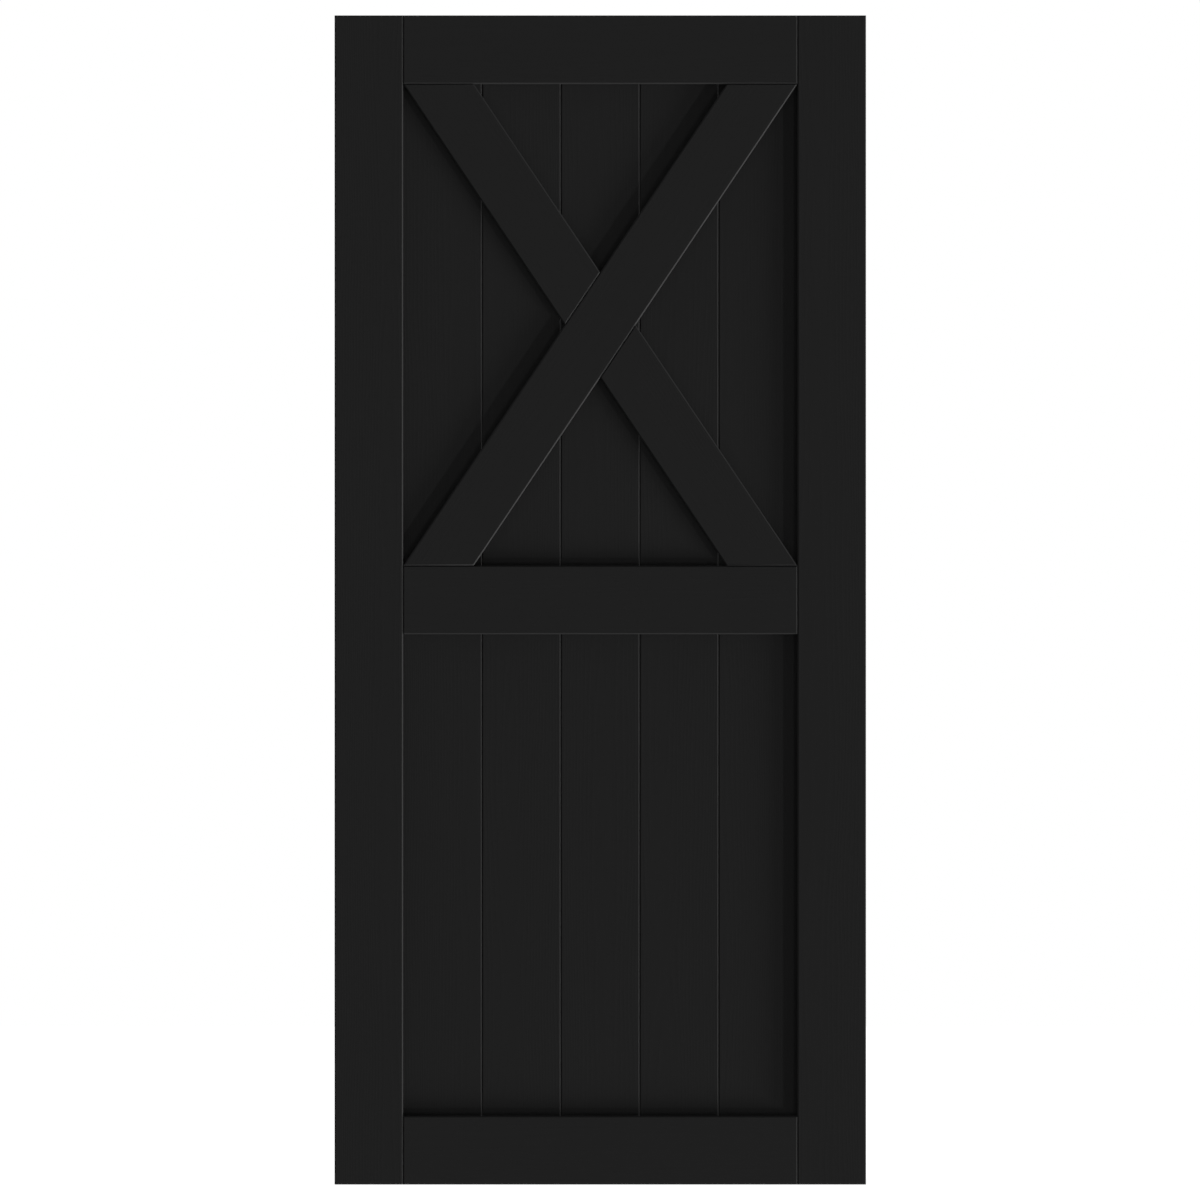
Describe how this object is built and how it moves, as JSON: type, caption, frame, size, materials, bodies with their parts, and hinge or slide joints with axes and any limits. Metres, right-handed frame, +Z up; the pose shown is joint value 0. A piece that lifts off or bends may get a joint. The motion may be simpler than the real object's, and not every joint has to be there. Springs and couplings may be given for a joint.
{
  "type": "framed ledged and braced door leaf",
  "caption": "Tall framed door leaf of upright tongued and grooved boards between stiles and rails, with crossed braces on the upper panel, painted matt black.",
  "frame": {"origin": "middle of the leaf's top edge, halfway between its front and back faces", "axes": "+Z up, -Y out of the front face, +X to the right as the front is faced"},
  "size_m": [0.97, 0.035, 2.134],
  "materials": {
    "frame_paint": "matt black paint on planed stiles and rails",
    "board_paint": "matt black paint on upright boards",
    "brace_paint": "matt black paint on planted braces"
  },
  "bodies": {
    "root": {"back_long_brace": "brace_paint", "back_lower_short_brace": "brace_paint", "back_upper_short_brace": "brace_paint", "bottom_rail": "frame_paint", "front_long_brace": "brace_paint", "front_lower_short_brace": "brace_paint", "front_upper_short_brace": "brace_paint", "left_stile": "frame_paint", "lower_board_1": "board_paint", "lower_board_2": "board_paint", "lower_board_3": "board_paint", "lower_board_4": "board_paint", "lower_board_5": "board_paint", "middle_rail": "frame_paint", "right_stile": "frame_paint", "top_rail": "frame_paint", "upper_board_1": "board_paint", "upper_board_2": "board_paint", "upper_board_3": "board_paint", "upper_board_4": "board_paint", "upper_board_5": "board_paint"}
  },
  "joints": []
}
